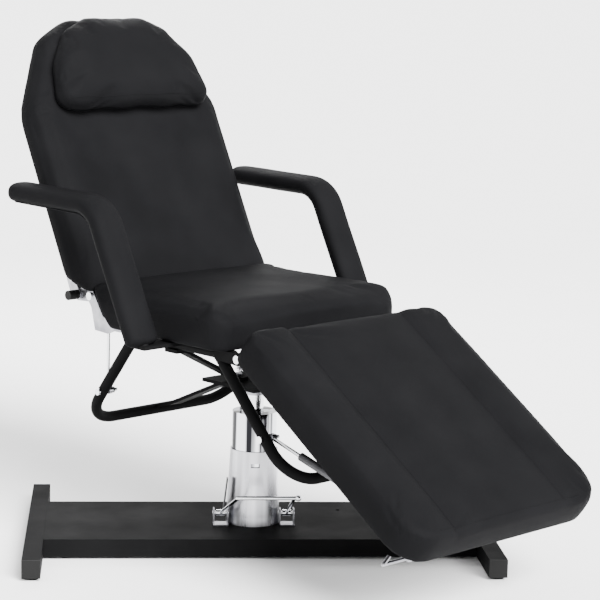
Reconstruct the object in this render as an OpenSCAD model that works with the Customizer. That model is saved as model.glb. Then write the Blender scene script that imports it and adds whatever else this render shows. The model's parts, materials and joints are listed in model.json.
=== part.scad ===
// Facial treatment bed: a reclining chair on a hydraulic pump and an I-shaped floor base.
// Millimetres. +X points to the foot end, +Y to the sitter's left, +Z up.
// The origin is the middle of the overall outline, on the floor.

/* [Floor base] */
// Length of the base over both cross tubes
base_len = 1040; // [960:10:1100]
// Length of each cross tube
cross_len = 637; // [600:1:660]
// Width and height of the cross tube section
cross_size = 40; // [36:1:42]
// Depth of the base plate between the cross tubes
plate_depth = 320; // [300:5:360]
// Height of the feet under the base
foot_h = 6; // [5:1:8]
// Angle of the base against the chair at rest
base_turn = 50.35; // [40:0.05:60]
// Distance from the pump axis to the middle of the base
base_shift = 11.4; // [0:0.1:15]

/* [Pump] */
// Height of the top of the pump sleeve
sleeve_top = 302; // [300:1:304]
// Radius of the chrome sleeve
sleeve_r = 50.5; // [48:0.5:52]
// Height of the top of the skirt
skirt_top = 216; // [200:1:220]
// Radius of the skirt at its bottom
skirt_foot_r = 61.5; // [60:0.5:64]
// Radius of the lift ram
ram_r = 20; // [18:0.5:21]

/* [Seat] */
// Height of the top of the seat cushion
seat_z = 586; // [580:1:590]
// Front edge of the seat cushion
seat_front_x = 186; // [180:1:188]
// Width of the seat and the backrest
seat_w = 565; // [550:1:570]
// Thickness of the seat with its board
seat_thick = 94; // [93:0.5:96]

/* [Backrest] */
// Lean of the backrest from vertical at rest
back_lean = 26.37; // [24:0.01:28]
// Length of the backrest
back_len = 645; // [600:1:650]
// Height along the backrest where its top corners start
back_chamfer = 424; // [400:1:440]
// Thickness of the backrest with its board
back_thick = 64; // [62:0.5:66]

/* [Legrest] */
// Drop of the legrest below level at rest
leg_drop = 34.2; // [32:0.1:35]
// Length of the legrest
leg_len = 602; // [580:1:610]
// Width of the legrest
leg_w = 584; // [570:1:590]
// Thickness of the legrest with its board
leg_thick = 80; // [78:0.5:82]
// Corner radius at the foot end
leg_corner = 66; // [50:1:80]

/* [Frame] */
// Outer diameter of the frame tubes
tube_d = 25; // [24:0.5:26]
// Wall thickness of the frame tubes
tube_wall = 2; // [1.5:0.5:3]
// Distance from the middle plane to the side tubes
rail_y = 225; // [224:0.5:226]

/* [Armrests] */
// Distance from the middle plane to each armrest
arm_y = 339; // [338:1:344]
// Width of the armrest padding
arm_w = 76; // [70:1:80]
// Thickness of the armrest padding
arm_h = 43; // [40:1:46]
// Bend radius of the armrest
arm_bend_r = 80; // [75:1:90]

/* [Hidden] */
$fn = 48;
gap = 0.3;
// joint line between the stretches of a bent tube
seam = 0.02;

// backrest pivot and the crease where the backrest meets the seat
crease_x = -267;
back_pivot = [-290.4, 548.3];
// top edge of the legrest at the knee, and the legrest pivot
knee_x = 272.2;
knee_z = 559.4;
leg_pivot = [199.7, 478.5];

// pump axis in the shared frame, from the two ends of the chair and the turned base
head_x = crease_x - back_len * sin(back_lean) - back_thick * cos(back_lean);
toe_x = knee_x + leg_len * cos(leg_drop);
pump_x = -(head_x + toe_x) / 2;
pump_y = -base_shift * sin(base_turn);

// frame tubes
tube_r = tube_d / 2;
tube_in = tube_r - tube_wall;
rail_z = 479.5;
rail_ends = [-166, 168];
rear_top = [-150.7, rail_z];
rear_corner = [-327, 251];
front_top = [119.2, rail_z];
front_corner = [345, 236];
hoop_bend = 82;
rear_bolt = [-265, 331.3];
front_bolt = [269, 318.1];
bolt_r = 4;
bolt_clear = 0.08;

// spider under the seat
plate_z = 366;
plate_t = 8;
plate_w = 170;
bar_w = 40;
bar_t = 8;
hub_r = 22;
hub_z = 340;
spigot_r = 11;
tab_bolt_x = 55;
side_bolt = [-20, 31];

// base
base_top = foot_h + cross_size;
tray_wall = 4;
pedal_pivot = [-30, 71];
pedal_bar = [-150, 137];
bracket_x = 75;
pin_r = 4;

// seat and backrest hardware
board_t = 12;
back_board_t = 10;
side_t = 5;
hinge_y = 238.5;
bracket_y = 232.5;
hinge_pin_r = 6;
hinge_fit = 0.05;
crank_r = 30;
crank_angle = -32.05;
crank_pin = back_pivot + crank_r * [cos(crank_angle), sin(crank_angle)];
lock_x = -268;
lock_y = 207.5;
lock_rod_r = 4;
lock_z = 478;
lock_h = 62;
grip_at = [82, -4];
lever_at = [86, 34];

// rear face of the seat, top corners of the backrest, and the pillow
seat_rear_top = -250;
seat_rear_low = -176;
back_top_chamfer = 600;
back_top_half = 182;
back_crown_half = 100;
pillow_low = 404;
pillow_top = 633;
pillow_deep = 70;

// legrest hardware, along and below the legrest's top
strut_at = [405.5, 107.7];
strut_y = 205;
strut_rod_r = 4;
strut_tube_r = 9;
strut_pin_r = 4;
slot_across = 23.4;
slot_along = 13.6;
eye_w = 29;
handle_at = [540, 147];
handle_r = 4.25;

// armrest path in the XZ plane: rear end, corner, lower end
arm_rear = [-407, 779];
arm_corner = [-143, 774];
arm_low = [6, 491];
arm_bracket = [-10, 28];
arm_bracket_z = [483.5, 491.7];

// ---------- placing ----------
module at_pump() translate([pump_x, pump_y, 0]) children();
module at_base() at_pump() rotate([0, 0, base_turn]) children();
module at_back() at_pump() translate([crease_x, 0, seat_z]) rotate([0, -back_lean, 0]) children();
module at_leg() at_pump() translate([knee_x, 0, knee_z]) rotate([0, leg_drop, 0]) children();
// draws the right-hand (-Y) piece and its mirror image
module both_sides() {
    children();
    mirror([0, 1, 0]) children();
}
module left_side() mirror([0, 1, 0]) children();

// ---------- shapes ----------
// flat plate in the XZ plane, from y_low towards +Y
module side_plate(y_low, thick) {
    translate([0, y_low + thick, 0]) rotate([90, 0, 0]) linear_extrude(thick) children();
}
// round bar along Y through the point [x, z]
module y_bar(at, y_low, y_high, r) {
    translate([at[0], y_high, at[1]]) rotate([90, 0, 0]) cylinder(h = y_high - y_low, r = r);
}
module y_hex(at, y_low, y_high, r) {
    translate([at[0], y_high, at[1]]) rotate([90, 0, 0]) cylinder(h = y_high - y_low, r = r, $fn = 6);
}
module ring(r_out, r_in) {
    difference() {
        circle(r_out);
        circle(r_in);
    }
}
// straight round tube from point a to point b in the XZ plane
module xz_tube(a, b, y, r_out, r_in) {
    along = b - a;
    translate([a[0], y, a[1]]) rotate([0, atan2(along[0], along[1]), 0])
        linear_extrude(norm(along)) ring(r_out, r_in);
}
// tube along a -> corner -> b with a downward bend at the corner, in three stretches
module bent_tube(a, corner, b, bend, y) {
    d1 = (corner - a) / norm(corner - a);
    d2 = (b - corner) / norm(b - corner);
    turn = acos(d1 * d2);
    tangent = bend * tan(turn / 2);
    centre = corner - d1 * tangent + bend * [d1[1], -d1[0]];
    translate([centre[0], y, centre[1]]) rotate([90, 0, 0]) rotate([0, 0, atan2(d2[0], -d2[1])]) {
        rotate_extrude(angle = turn) translate([bend, 0]) children();
        translate([bend, -seam, 0]) rotate([90, 0, 0])
            linear_extrude(norm(b - corner) - tangent - seam) children();
        rotate([0, 0, turn]) translate([bend, seam, 0]) rotate([-90, 0, 0])
            linear_extrude(norm(corner - a) - tangent - seam) children();
    }
}
// straight side tube of a hoop, cut to fit under its rail
module hoop_side(top, corner, bolt) {
    along = (top - corner) / norm(top - corner);
    difference() {
        xz_tube(corner + along * hoop_bend, top, -rail_y, tube_r, tube_in);
        translate([-400, -rail_y, rail_z]) rotate([0, 90, 0]) cylinder(h = 800, r = tube_r + 0.05);
        y_bar(bolt, -rail_y - tube_d, -rail_y + tube_d, bolt_r + bolt_clear);
    }
}
// bottom tube of a hoop with its two bends
module hoop_cross(top, corner) {
    along = top - corner;
    translate([corner[0], 0, corner[1]]) rotate([0, atan2(along[0], along[1]), 0]) {
        translate([0, rail_y - hoop_bend, 0]) rotate([90, 0, 0])
            linear_extrude(2 * (rail_y - hoop_bend)) ring(tube_r, tube_in);
        both_sides() translate([0, hoop_bend - rail_y, hoop_bend]) rotate([0, 90, 0])
            rotate([0, 0, -90]) rotate_extrude(angle = 90) translate([hoop_bend, 0]) ring(tube_r, tube_in);
    }
}
// closed outline of a flat bar that follows the points, drawn in 2D
function bar_side(points, half) = [for (i = [0 : len(points) - 1])
    let (a = points[max(i - 1, 0)], b = points[min(i + 1, len(points) - 1)],
         d0 = (i == 0 ? points[1] - points[0] : points[i] - a),
         d1 = (i == len(points) - 1 ? points[i] - a : b - points[i]),
         n0 = [-d0[1], d0[0]] / norm(d0), n1 = [-d1[1], d1[0]] / norm(d1),
         n = (n0 + n1) / norm(n0 + n1))
    points[i] + n * half / (n * n0)];
function reversed(list) = [for (i = [len(list) - 1 : -1 : 0]) list[i]];
module bar_outline(points, thick) {
    polygon(concat(bar_side(points, thick / 2), reversed(bar_side(points, -thick / 2))));
}

// ---------- floor base ----------
module cross_tube(side) {
    color([0.13, 0.13, 0.14]) at_base()
        translate([base_shift + side * (base_len - cross_size) / 2, 0, foot_h + cross_size / 2])
        difference() {
            cube([cross_size, cross_len, cross_size], center = true);
            cube([cross_size - 4, cross_len + 2, cross_size - 4], center = true);
        }
}
module cross_tube_head() cross_tube(-1);
module cross_tube_foot() cross_tube(1);
module base_plate() {
    length = base_len - 2 * cross_size - 0.4;
    color([0.13, 0.13, 0.14]) at_base() difference() {
        translate([base_shift - length / 2, -plate_depth / 2, foot_h]) cube([length, plate_depth,
            cross_size]);
        translate([base_shift - length / 2 + tray_wall, -plate_depth / 2 + tray_wall, foot_h - 1])
            cube([length - 2 * tray_wall, plate_depth - 2 * tray_wall, cross_size - tray_wall + 1]);
        for (a = [45 : 90 : 315]) rotate([0, 0, a]) translate([46, 0, 0]) cylinder(h = 60,
            r = bolt_r + 0.4);
        translate([204, 86, 0]) cylinder(h = 60, r = 5);
    }
}
module cross_tube_caps() {
    plug = cross_size - 4.4;
    color([0.07, 0.07, 0.07]) at_base() for (end = [-1, 1], side = [-1, 1]) {
        translate([base_shift + end * (base_len - cross_size) / 2, 0, foot_h + cross_size / 2])
            scale([1, side, 1]) union() {
                translate([-plug / 2, cross_len / 2 - 12, -plug / 2]) cube([plug, 12, plug]);
                translate([-cross_size / 2, cross_len / 2, -cross_size / 2]) cube([cross_size, 2,
                    cross_size]);
            }
    }
}
module feet() {
    color([0.07, 0.07, 0.07]) at_base() for (end = [-1, 1], side = [-1, 1])
        translate([base_shift + end * (base_len - cross_size) / 2, side * (cross_len / 2 - 22), 0])
            cylinder(h = foot_h, r1 = 16, r2 = 18);
}
module pump_flange() {
    color([0.6, 0.6, 0.62]) at_base() union() {
        difference() {
            translate([0, 0, base_top]) cylinder(h = 8, r = 56);
            translate([0, 0, base_top - 1]) cylinder(h = 10, r = 33);
            for (a = [45 : 90 : 315]) rotate([0, 0, a]) translate([46, 0, base_top - 1])
                cylinder(h = 10, r = bolt_r + 0.4);
        }
        for (a = [45 : 90 : 315]) rotate([0, 0, a]) translate([46, 0, 0]) {
            translate([0, 0, base_top + 8]) cylinder(h = 6, r = 6.5, $fn = 6);
        }
    }
}
module pump_cylinder() {
    color([0.55, 0.55, 0.57]) at_base() difference() {
        translate([0, 0, base_top]) cylinder(h = sleeve_top - base_top - 16, r = 32.5);
        translate([0, 0, base_top + 10]) cylinder(h = 400, r = ram_r + hinge_fit);
    }
}
module pump_skirt() {
    color([0.78, 0.79, 0.82]) at_base() difference() {
        translate([0, 0, base_top]) rotate_extrude() polygon([[skirt_foot_r - 2, 0], [skirt_foot_r, 0],
            [skirt_foot_r - 1.5, 20], [53.5, skirt_top - base_top], [sleeve_r + 0.3, skirt_top - base_top],
            [sleeve_r + 0.3, skirt_top - base_top - 4], [skirt_foot_r - 3.5, 20]]);
        translate([-10, -70, 181]) cube([20, 40, 9]);
    }
}
module pump_sleeve() {
    color([0.85, 0.86, 0.88]) at_base() difference() {
        translate([0, 0, base_top + 8]) cylinder(h = sleeve_top - base_top - 8, r = sleeve_r);
        translate([0, 0, base_top + 7]) cylinder(h = sleeve_top - base_top - 22, r = sleeve_r - 3);
        translate([0, 0, base_top]) cylinder(h = 400, r = ram_r + 0.3);
        for (a = [45 : 90 : 315]) rotate([0, 0, a]) translate([46, 0, base_top]) cylinder(h = 30, r = 8);
    }
}
module pedal_brackets() {
    color([0.6, 0.6, 0.62]) at_base() for (x = [-bracket_x, bracket_x]) translate([x, 0, 0]) {
        difference() {
            union() {
                translate([-17, -52, base_top]) cube([34, 30, 3]);
                for (ear = [-17, 14]) translate([ear, -42, base_top]) cube([3, 20, 36]);
            }
            translate([-20, pedal_pivot[0], pedal_pivot[1]]) rotate([0, 90, 0])
                cylinder(h = 40, r = pin_r + hinge_fit);
        }
    }
}
module foot_pedal() {
    bar_right = 90;
    bar_left = -48;
    color([0.8, 0.81, 0.83]) at_base() {
        translate([bar_left, pedal_bar[0], pedal_bar[1]]) rotate([0, 90, 0])
            cylinder(h = bar_right - bar_left, r = 4.5);
        translate([bar_right, pedal_bar[0], pedal_bar[1]]) sphere(r = 7);
        for (x = [[-bracket_x, bar_left + 6], [bracket_x, bar_right - 8]]) {
            foot = [x[0], pedal_pivot[0], pedal_pivot[1]];
            tip = [x[1], pedal_bar[0], pedal_bar[1]];
            run = tip - foot;
            side = norm([run[0], run[1]]);
            difference() {
                translate(foot) rotate([0, atan2(side, run[2]), atan2(run[1], run[0])])
                    cylinder(h = norm(run), r = 4);
                translate(foot - [30, 0, 0]) rotate([0, 90, 0]) cylinder(h = 60, r = 7);
            }
            translate(foot - [10, 0, 0]) rotate([0, 90, 0]) cylinder(h = 20, r = 7.5);
            translate(foot - [18.5, 0, 0]) rotate([0, 90, 0]) cylinder(h = 37, r = pin_r);
        }
    }
}
module pump_lever() {
    color([0.2, 0.2, 0.21]) at_base() difference() {
        translate([-70, -38, 78.6]) rotate([0, 6, 0]) cube([3, 16, 74]);
        translate([-95, pedal_pivot[0], pedal_pivot[1]]) rotate([0, 90, 0]) cylinder(h = 40, r = 7.6);
    }
}

// ---------- lift ----------
module pump_ram() {
    color([0.85, 0.86, 0.88]) at_pump() {
        translate([0, 0, base_top + 30]) cylinder(h = hub_z - base_top - 30, r = ram_r);
        translate([0, 0, hub_z]) cylinder(h = plate_z + plate_t + 2 - hub_z, r = spigot_r);
        translate([0, 0, plate_z + plate_t + 2]) cylinder(h = 6, r = 16);
    }
}

// ---------- seat frame ----------
module socket_hub() {
    color([0.6, 0.6, 0.62]) at_pump() difference() {
        translate([0, 0, hub_z + gap]) cylinder(h = plate_z - hub_z - gap, r = hub_r);
        translate([0, 0, hub_z - 1]) cylinder(h = 40, r = spigot_r + hinge_fit);
    }
}
module spider_holes(z, h, r) {
    for (s = [-1, 1]) translate([s * tab_bolt_x, 0, z]) cylinder(h = h, r = r);
    for (s = [-1, 1]) translate([side_bolt[0], s * side_bolt[1], z]) cylinder(h = h, r = r);
}
module mounting_plate() {
    color([0.13, 0.13, 0.14]) at_pump() difference() {
        translate([-plate_w / 2, -plate_w / 2, plate_z]) cube([plate_w, plate_w, plate_t]);
        translate([0, 0, plate_z - 1]) cylinder(h = plate_t + 2, r = spigot_r + 0.3);
        spider_holes(plate_z - 1, plate_t + 2, bolt_r + bolt_clear);
    }
}
module spider_bolts() {
    color([0.6, 0.6, 0.62]) at_pump() {
        for (s = [-1, 1]) translate([s * tab_bolt_x, 0, 0]) {
            translate([0, 0, plate_z - bar_t - 6]) cylinder(h = 2 * bar_t + 10, r = bolt_r);
            translate([0, 0, plate_z + plate_t]) cylinder(h = 6, r = 7, $fn = 6);
            translate([0, 0, plate_z - bar_t - 6]) cylinder(h = 6, r = 7, $fn = 6);
        }
        for (s = [-1, 1]) translate([side_bolt[0], s * side_bolt[1], 0]) {
            translate([0, 0, plate_z - 6]) cylinder(h = 2 * bar_t + 10, r = bolt_r);
            translate([0, 0, plate_z + plate_t + bar_t]) cylinder(h = 6, r = 7, $fn = 6);
            translate([0, 0, plate_z - 6]) cylinder(h = 6, r = 7, $fn = 6);
        }
    }
}
// flat bar from a hoop's cross tube to the underside of the plate
module end_arm(cross, side) {
    tab = plate_z - bar_t / 2;
    color([0.13, 0.13, 0.14]) at_pump() difference() {
        side_plate(-bar_w / 2, bar_w) bar_outline([[side * 34, tab], [side * 72, tab],
            [cross[0] - side * 55, cross[1] + 22], [cross[0], cross[1] + 6]], bar_t);
        y_bar(cross, -bar_w, bar_w, tube_r + 0.05);
        spider_holes(plate_z - bar_t - 1, bar_t + 2, bolt_r + bolt_clear);
    }
}
module rear_arm() end_arm(rear_corner, -1);
module front_arm() end_arm(front_corner, 1);
module side_arms() {
    tab = plate_z + plate_t + bar_t / 2;
    low = rail_z - tube_r - bar_t / 2;
    color([0.13, 0.13, 0.14]) at_pump() difference() {
        both_sides() translate([-bar_w / 2 - 20, 0, 0]) rotate([90, 0, 90]) linear_extrude(bar_w)
            bar_outline([[-22, tab], [-44, tab], [-rail_y + 14, low], [-rail_y - 12, low]], bar_t);
        spider_holes(plate_z + plate_t - 1, bar_t + 2, bolt_r + bolt_clear);
    }
}
module rail_right() {
    color([0.13, 0.13, 0.14]) at_pump() translate([rail_ends[0], -rail_y, rail_z]) rotate([0, 90, 0])
        linear_extrude(rail_ends[1] - rail_ends[0]) ring(tube_r, tube_in);
}
module rail_left() translate([0, 2 * pump_y, 0]) left_side() rail_right();
module rail_end_caps() {
    color([0.07, 0.07, 0.07]) at_pump() both_sides() for (end = [0, 1])
        translate([rail_ends[end], -rail_y, rail_z]) rotate([0, end == 0 ? -90 : 90, 0]) {
            cylinder(h = 2, r = tube_r);
            translate([0, 0, -10]) cylinder(h = 10, r = tube_in - 0.1);
        }
}
module rear_post_right() color([0.13, 0.13, 0.14]) at_pump() hoop_side(rear_top, rear_corner, rear_bolt);
module rear_post_left() {
    color([0.13, 0.13, 0.14]) at_pump() left_side() hoop_side(rear_top, rear_corner, rear_bolt);
}
module front_leg_right() color([0.13, 0.13, 0.14]) at_pump() hoop_side(front_top, front_corner, front_bolt);
module front_leg_left() {
    color([0.13, 0.13, 0.14]) at_pump() left_side() hoop_side(front_top, front_corner, front_bolt);
}
module rear_cross_tube() color([0.13, 0.13, 0.14]) at_pump() hoop_cross(rear_top, rear_corner);
module front_cross_tube() color([0.13, 0.13, 0.14]) at_pump() hoop_cross(front_top, front_corner);
module frame_bolts() {
    outside = rail_y + tube_r;
    color([0.8, 0.81, 0.83]) at_pump() both_sides() for (at = [rear_bolt, front_bolt]) {
        y_bar(at, -outside, -186, bolt_r);
        y_bar(at, -outside - 5, -outside, 7.5);
    }
}
module frame_nuts() {
    color([0.62, 0.62, 0.64]) at_pump() both_sides() for (at = [rear_bolt, front_bolt]) difference() {
        union() {
            y_hex(at, -200.8, -194.5, 7.5);
            y_bar(at, -212.3, -209.2, 6.5);
        }
        y_bar(at, -240, -180, bolt_r + bolt_clear);
    }
}

// ---------- seat ----------
module seat_board() {
    low = seat_z - seat_thick;
    color([0.25, 0.2, 0.15]) at_pump() translate([seat_rear_low, -seat_w / 2 + 6, low])
        cube([seat_front_x - 6 - seat_rear_low, seat_w - 12, board_t]);
}
module seat_cushion() {
    low = seat_z - seat_thick + board_t + gap;
    slant = (seat_rear_low - seat_rear_top) * (low - seat_z + seat_thick) / seat_thick;
    color([0.17, 0.17, 0.18]) at_pump() side_plate(-seat_w / 2, seat_w)
        polygon([[seat_rear_top, seat_z], [seat_front_x, seat_z], [seat_front_x, low],
            [seat_rear_low - slant, low]]);
}

// ---------- armrests ----------
module armrest_brackets() {
    color([0.13, 0.13, 0.14]) at_pump() both_sides() difference() {
        translate([arm_bracket[0], -arm_y - 14, arm_bracket_z[0]])
            cube([arm_bracket[1] - arm_bracket[0], arm_y + 14 - rail_y,
                arm_bracket_z[1] - arm_bracket_z[0]]);
        translate([-100, -rail_y, rail_z]) rotate([0, 90, 0]) cylinder(h = 200, r = tube_r + 0.05);
    }
}
module armrest_tube_right() {
    along = (arm_low - arm_corner) / norm(arm_low - arm_corner);
    color([0.13, 0.13, 0.14]) at_pump() difference() {
        bent_tube(arm_rear, arm_corner, arm_low + along * 20, arm_bend_r, -arm_y) ring(tube_r - 0.1,
            tube_in);
        translate([-100, -arm_y - 50, arm_bracket_z[1] + 0.05 - 100]) cube([300, 100, 100]);
    }
}
module armrest_tube_left() translate([0, 2 * pump_y, 0]) left_side() armrest_tube_right();
// section of the padding: x across its thickness, y across its width
module pad_section() {
    for (side = [-1, 1]) translate([0, side * (arm_w - arm_h) / 2]) circle(arm_h / 2);
    square([arm_h, arm_w - arm_h], center = true);
}
module armrest_pad_right() {
    along = (arm_rear - arm_corner) / norm(arm_rear - arm_corner);
    color([0.17, 0.17, 0.18]) at_pump() difference() {
        union() {
            bent_tube(arm_rear, arm_corner, arm_low, arm_bend_r, -arm_y) difference() {
                pad_section();
                circle(tube_r);
            }
            translate([arm_rear[0], -arm_y, arm_rear[1]]) rotate([0, -atan2(along[1], along[0]), 0])
                translate([seam, 0, 0]) rotate([0, 0, -90]) rotate_extrude(angle = 180) intersection() {
                    rotate(90) pad_section();
                    translate([0, -arm_h]) square([arm_w, 2 * arm_h]);
                }
        }
        translate([arm_bracket[0] - 6, -arm_y - 14.3, arm_bracket_z[0] - 60])
            cube([arm_bracket[1] - arm_bracket[0] + 12, arm_w,
                60 + arm_bracket_z[1] - arm_bracket_z[0] + gap]);
    }
}
module armrest_pad_left() translate([0, 2 * pump_y, 0]) left_side() armrest_pad_right();

// ---------- backrest hinge, lock and lever ----------
module back_hinge_plates() {
    color([0.6, 0.6, 0.63]) at_pump() both_sides() difference() {
        side_plate(-hinge_y - side_t, side_t) union() {
            polygon([[-273, 473], [-228, 471], [-206, 480], [-112, 480], [-112, 491.5], [-208, 491.5],
                [-246, 508], [back_pivot[0] + 13, back_pivot[1] + 5], [back_pivot[0] - 13,
                    back_pivot[1] - 4],
                [-287, 524]]);
            translate(back_pivot) circle(14);
        }
        y_bar(back_pivot, -260, -220, hinge_pin_r + bolt_clear);
    }
}
module back_hinge_pins() {
    color([0.8, 0.81, 0.83]) at_pump() both_sides() {
        y_bar(back_pivot, -hinge_y - side_t, -228.5, hinge_pin_r);
        y_bar(back_pivot, -hinge_y - side_t - 5, -hinge_y - side_t, 9);
        y_bar(back_pivot, -231.8, -226, 9);
    }
}
module backrest_brackets() {
    color([0.74, 0.74, 0.77]) both_sides_back() difference() {
        union() {
            at_back() side_plate(-bracket_y - side_t, side_t)
                polygon([[-back_thick - gap, 54], [-back_thick - gap, 190], [-back_thick - 24, 190],
                    [-108, 60], [-111, 1], [-91, -16], [-48, -34], [-30, -37], [-26, -12], [-42, 20]]);
            at_pump() side_plate(-bracket_y - side_t, side_t) translate(back_pivot) circle(14);
            at_pump() side_plate(-bracket_y - side_t, side_t)
                bar_outline([back_pivot, crank_pin + [1, -0.6]], 16);
            at_back() translate([-back_thick - gap - 4, -bracket_y, 64]) cube([4, 30, 126]);
        }
        at_pump() y_bar(back_pivot, -260, -200, hinge_pin_r + hinge_fit);
        at_pump() y_bar(crank_pin, -260, -200, 3);
        at_back() y_bar([-lever_at[0], lever_at[1]], -260, -200, 5 + hinge_fit);
    }
}
// mirrors a piece that is already placed, about the pump's own plane
module both_sides_back() {
    children();
    translate([0, 2 * pump_y, 0]) mirror([0, 1, 0]) children();
}
module crank_pins() {
    color([0.8, 0.81, 0.83]) at_pump() both_sides() {
        y_bar(crank_pin, -bracket_y - side_t + 0.5, -217, 2.95);
    }
}
module lock_rods() {
    top = 568;
    color([0.85, 0.86, 0.88]) at_pump() both_sides() difference() {
        union() {
            translate([lock_x, -lock_y, rear_bolt[1] + 7]) cylinder(h = top - rear_bolt[1] - 7,
                r = lock_rod_r);
            y_bar([lock_x + 2, rear_bolt[1]], -lock_y - 1.5, -lock_y + 6.5, 9);
        }
        y_bar(rear_bolt, -240, -180, bolt_r + bolt_clear);
    }
}
module lock_housings() {
    color([0.66, 0.66, 0.69]) at_pump() both_sides() difference() {
        union() {
            translate([-283, -215.3, lock_z]) cube([28, 15.8, lock_h]);
            translate([-280, -228.5, 522]) cube([25.2, 13.3, 20]);
        }
        translate([lock_x, -lock_y, 400]) cylinder(h = 300, r = lock_rod_r + hinge_fit);
        translate([crank_pin[0] - 3.8, -235, crank_pin[1] - 3.8]) cube([12.4, 19.5, 7.6]);
    }
}
module release_shaft() {
    color([0.8, 0.81, 0.83]) at_back() y_bar([-lever_at[0], lever_at[1]], -236.5 - 8, 236.5, 5);
}
module release_lever() {
    color([0.6, 0.6, 0.62]) at_back() difference() {
        side_plate(-hinge_y - 4, 4) union() {
            bar_outline([[-lever_at[0], lever_at[1]], [-grip_at[0], grip_at[1]]], 18);
            translate([-lever_at[0], lever_at[1]]) circle(11);
            translate([-grip_at[0], grip_at[1]]) circle(9);
        }
        y_bar([-lever_at[0], lever_at[1]], -260, -200, 5.02);
        y_bar([-grip_at[0], grip_at[1]], -260, -200, 5.02);
    }
}
module lever_grip() {
    color([0.05, 0.05, 0.05]) at_back() {
        y_bar([-grip_at[0], grip_at[1]], -243, -238.2, 5);
        y_bar([-grip_at[0], grip_at[1]], -270, -242.8, 11);
    }
}

// ---------- backrest ----------
module back_outline(inset) {
    half = seat_w / 2 - inset;
    polygon([[-half, -20], [-half, back_chamfer - inset / 2], [-back_top_half + inset / 2,
        back_top_chamfer - inset / 2],
        [-back_crown_half, back_len - inset], [back_crown_half, back_len - inset],
        [back_top_half - inset / 2, back_top_chamfer - inset / 2], [half, back_chamfer - inset / 2],
            [half, -20]]);
}
module backrest_cushion() {
    deep = back_thick - back_board_t - gap;
    color([0.17, 0.17, 0.18]) at_back() intersection() {
        rotate([90, 0, 90]) translate([0, 0, -deep]) linear_extrude(deep) back_outline(0);
        side_plate(-seat_w / 2 - 1, seat_w + 2) polygon([[0, 2], [-deep, 45], [-deep, 660], [0, 660]]);
    }
}
module backrest_board() {
    color([0.25, 0.2, 0.15]) at_back() intersection() {
        rotate([90, 0, 90]) translate([0, 0, -back_thick]) linear_extrude(back_board_t) back_outline(0);
        translate([-100, -400, 56]) cube([200, 800, 700]);
    }
}
module pillow() {
    color([0.17, 0.17, 0.18]) at_back() intersection() {
        rotate([90, 0, 90]) translate([0, 0, 1.5]) linear_extrude(pillow_deep) polygon([[-236, pillow_low],
            [-208, 520], [-152, 600], [-88, pillow_top], [88, pillow_top], [152, 600], [208, 520],
                [236, pillow_low]]);
        side_plate(-240, 480) polygon([[0, 408], [pillow_deep * 0.7, 400], [pillow_deep, 425],
            [pillow_deep, 600],
            [pillow_deep * 0.6, 640], [0, 640]]);
    }
}
module pillow_fixing_strips() {
    color([0.05, 0.05, 0.05]) at_back() for (t = [450, 560])
        translate([0.2, -120, t]) cube([1.2, 240, 25]);
}

// ---------- legrest ----------
function foot_arc(side) = [for (a = [0 : 15 : 90])
    [leg_len - leg_corner + leg_corner * sin(a), side * (leg_w / 2 - leg_corner + leg_corner * cos(a))]];
module leg_outline() {
    polygon(concat([[0, leg_w / 2]], foot_arc(1), reversed(foot_arc(-1)), [[0, -leg_w / 2]]));
}
module legrest_cushion() {
    deep = leg_thick - back_board_t - gap;
    color([0.17, 0.17, 0.18]) at_leg() translate([0, 0, -deep]) linear_extrude(deep) leg_outline();
}
module legrest_board() {
    color([0.25, 0.2, 0.15]) at_leg() translate([0, 0, -leg_thick]) linear_extrude(back_board_t)
        leg_outline();
}
module knee_plates() {
    color([0.13, 0.13, 0.14]) at_pump() both_sides() difference() {
        side_plate(-hinge_y - side_t, side_t) union() {
            polygon([[128, 469], [leg_pivot[0], leg_pivot[1] - 14], [leg_pivot[0], leg_pivot[1] + 12.5],
                [128, 491]]);
            translate(leg_pivot) circle(14);
        }
        y_bar(leg_pivot, -260, -220, hinge_pin_r + bolt_clear);
    }
}
module knee_pins() {
    color([0.8, 0.81, 0.83]) at_pump() both_sides() {
        y_bar(leg_pivot, -hinge_y - side_t, -228.5, hinge_pin_r);
        y_bar(leg_pivot, -hinge_y - side_t - 4, -hinge_y - side_t, 9);
        y_bar(leg_pivot, -231.8, -226, 9);
    }
}
module legrest_hinge_brackets() {
    under = -leg_thick - gap;
    color([0.13, 0.13, 0.14]) both_sides_back() difference() {
        union() {
            at_leg() side_plate(-bracket_y - side_t, side_t)
                polygon([[-26, -104], [14, under], [110, under], [110, under - 8], [-10, -121]]);
            at_pump() side_plate(-bracket_y - side_t, side_t) translate(leg_pivot) circle(14);
            at_leg() translate([16, -bracket_y, under - 4]) cube([94, 30, 4]);
        }
        at_pump() y_bar(leg_pivot, -260, -200, hinge_pin_r + hinge_fit);
    }
}
module strut_brackets() {
    under = -leg_thick - gap;
    color([0.6, 0.6, 0.62]) at_leg() both_sides() {
        difference() {
            side_plate(-strut_y - 12.5, 3) union() {
                polygon([[strut_at[0] - 22, under], [strut_at[0] + 22, under], [strut_at[0] + 9,
                    -strut_at[1]],
                    [strut_at[0] - 9, -strut_at[1]]]);
                translate([strut_at[0], -strut_at[1]]) circle(9);
            }
            y_bar([strut_at[0], -strut_at[1]], -240, -180, strut_pin_r - 0.5);
        }
        y_bar([strut_at[0], -strut_at[1]], -strut_y - 12.5, -strut_y + 8, strut_pin_r);
        translate([strut_at[0] - 22, -strut_y - 12.5, under - 2]) cube([44, 24, 2]);
    }
}
strut_low = [knee_x + strut_at[0] * cos(leg_drop) - strut_at[1] * sin(leg_drop),
    knee_z - strut_at[0] * sin(leg_drop) - strut_at[1] * cos(leg_drop)];
strut_dir = (strut_low - front_bolt) / norm(strut_low - front_bolt);
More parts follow.
